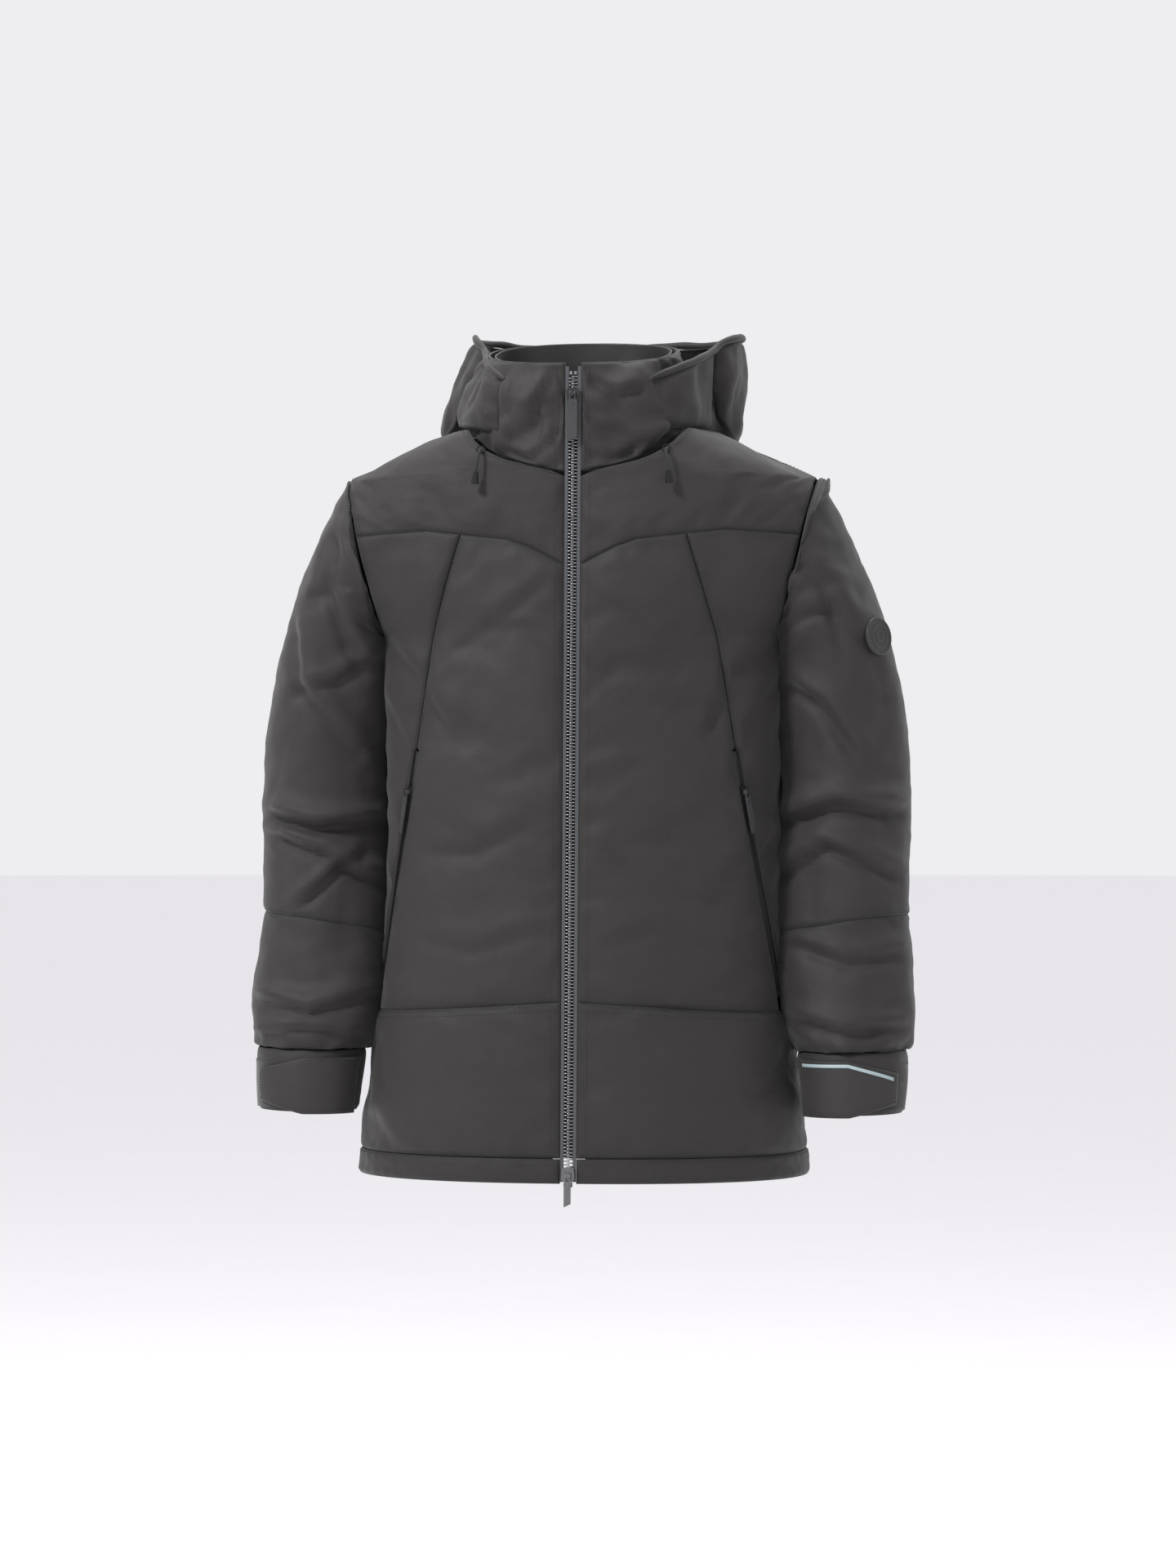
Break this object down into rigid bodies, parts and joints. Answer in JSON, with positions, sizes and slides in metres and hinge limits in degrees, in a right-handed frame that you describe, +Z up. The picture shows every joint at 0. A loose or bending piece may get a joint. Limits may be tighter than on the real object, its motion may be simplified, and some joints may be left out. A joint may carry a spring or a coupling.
{
  "type": "ski jacket",
  "caption": "Padded charcoal ski jacket with a two-way front zip, zipped hand pockets, strap cuffs, a funnel collar and a hood lying down behind it.",
  "frame": {"origin": "the gap of the hang loop at the inside centre back of the neck", "axes": "+X to the wearer's left, +Y to the back, +Z up"},
  "size_m": [0.613, 0.316, 0.8168],
  "materials": {
    "shell_fabric": "matt woven, slight sheen",
    "lining_fabric": "satin lining",
    "zip_tape": "laminated satin tape",
    "zip_teeth": "glossy moulded",
    "zip_metal": "black satin",
    "pull_rubber": "matt",
    "bright_metal": "worn satin",
    "loop_patch": "fuzzy loops",
    "cord_black": "braided",
    "toggle_plastic": "satin",
    "badge_rubber": "matt, raised rings"
  },
  "bodies": {
    "shell": {"arm_badge": "badge_rubber", "back_panel": "shell_fabric", "back_yoke": "shell_fabric", "body_lining": "lining_fabric", "collar_back": "shell_fabric", "collar_front_left": "shell_fabric", "collar_front_right": "shell_fabric", "collar_lining": "lining_fabric", "cuff_left": "shell_fabric", "cuff_loop_left": "loop_patch", "cuff_loop_right": "loop_patch", "cuff_right": "shell_fabric", "front_panel_left": "shell_fabric", "front_panel_right": "shell_fabric", "front_yoke_left": "shell_fabric", "front_yoke_right": "shell_fabric", "hang_loop": "cord_black", "hem_band": "shell_fabric", "hood_eyelets": "toggle_plastic", "hood_wing_left": "shell_fabric", "hood_wing_right": "shell_fabric", "lower_back": "shell_fabric", "lower_front_left": "shell_fabric", "lower_front_right": "shell_fabric", "pocket_bag_left": "lining_fabric", "pocket_bag_right": "lining_fabric", "pocket_zip_left": "zip_tape", "pocket_zip_right": "zip_tape", "side_panel_left": "shell_fabric", "side_panel_right": "shell_fabric", "sleeve_lining_left": "lining_fabric", "sleeve_lining_right": "lining_fabric", "sleeve_lower_left": "shell_fabric", "sleeve_lower_right": "shell_fabric", "sleeve_upper_left": "shell_fabric", "sleeve_upper_right": "shell_fabric", "storm_flap": "lining_fabric", "zip_end_stops": "zip_teeth", "zip_tape_left": "zip_tape", "zip_tape_right": "zip_tape", "zip_teeth_left": "zip_teeth", "zip_teeth_right": "zip_teeth"},
    "top_slider": {"zip_slider_top": "zip_metal"},
    "top_pull": {"zip_pull_top": "pull_rubber"},
    "bottom_slider": {"zip_slider_bottom": "bright_metal"},
    "bottom_pull": {"zip_pull_bottom": "bright_metal"},
    "pocket_slider_left": {"pocket_slider_left": "zip_metal"},
    "pocket_pull_left": {"pocket_pull_left": "pull_rubber"},
    "cuff_tab_left": {"cuff_tab_left": "shell_fabric"},
    "hood_cord_left": {"hood_cord_left": "cord_black", "hood_toggle_left": "toggle_plastic"},
    "pocket_slider_right": {"pocket_slider_right": "zip_metal"},
    "pocket_pull_right": {"pocket_pull_right": "pull_rubber"},
    "cuff_tab_right": {"cuff_tab_right": "shell_fabric"},
    "hood_cord_right": {"hood_cord_right": "cord_black", "hood_toggle_right": "toggle_plastic"},
    "hood": {"hood_side_left": "shell_fabric", "hood_side_right": "shell_fabric", "hood_centre": "shell_fabric", "hood_rim": "shell_fabric"}
  },
  "joints": [
    {"name": "top_slider_slide", "type": "slide", "parent": "shell", "child": "top_slider", "axis": [0, -0.0609, -0.9981], "range_m": [0, 0.42]},
    {"name": "top_pull_swing", "type": "hinge", "parent": "top_slider", "child": "top_pull", "pos_m": [0, -0.15168, -0.01011], "axis": [-1, 0, 0], "range_deg": [0, 160]},
    {"name": "bottom_slider_slide", "type": "slide", "parent": "shell", "child": "bottom_slider", "axis": [0, 0.0609, 0.9981], "range_m": [0, 0.2]},
    {"name": "bottom_pull_swing", "type": "hinge", "parent": "bottom_slider", "child": "bottom_pull", "pos_m": [0, -0.19541, -0.72678], "axis": [-1, 0, 0], "range_deg": [0, 160]},
    {"name": "pocket_slide_left", "type": "slide", "parent": "shell", "child": "pocket_slider_left", "axis": [0.1637, 0.1571, -0.9739], "range_m": [-0.025, 0.15]},
    {"name": "pocket_pull_swing_left", "type": "hinge", "parent": "pocket_slider_left", "child": "pocket_pull_left", "pos_m": [0.15884, -0.12308, -0.37674], "axis": [-0.51, -0.8316, -0.2199], "range_deg": [0, 150]},
    {"name": "cuff_tab_open_left", "type": "hinge", "parent": "shell", "child": "cuff_tab_left", "pos_m": [0.20825, -0.10829, -0.64896], "axis": [0.0988, -0.1425, -0.9849], "range_deg": [0, 80]},
    {"name": "hood_cord_swing_left", "type": "hinge", "parent": "shell", "child": "hood_cord_left", "pos_m": [0.086, -0.14417, -0.061], "axis": [-1, 0, 0], "range_deg": [0, 60]},
    {"name": "pocket_slide_right", "type": "slide", "parent": "shell", "child": "pocket_slider_right", "axis": [-0.1637, 0.1571, -0.9739], "range_m": [-0.025, 0.15]},
    {"name": "pocket_pull_swing_right", "type": "hinge", "parent": "pocket_slider_right", "child": "pocket_pull_right", "pos_m": [-0.15884, -0.12308, -0.37674], "axis": [-0.51, 0.8316, 0.2199], "range_deg": [0, 150]},
    {"name": "cuff_tab_open_right", "type": "hinge", "parent": "shell", "child": "cuff_tab_right", "pos_m": [-0.20825, -0.10829, -0.64896], "axis": [0.0988, 0.1425, 0.9849], "range_deg": [0, 80]},
    {"name": "hood_cord_swing_right", "type": "hinge", "parent": "shell", "child": "hood_cord_right", "pos_m": [-0.086, -0.14417, -0.061], "axis": [-1, 0, 0], "range_deg": [0, 60]},
    {"name": "hood_raise", "type": "hinge", "parent": "shell", "child": "hood", "pos_m": [0, -0.06, -0.02], "axis": [1, 0, 0], "range_deg": [0, 55]}
  ]
}
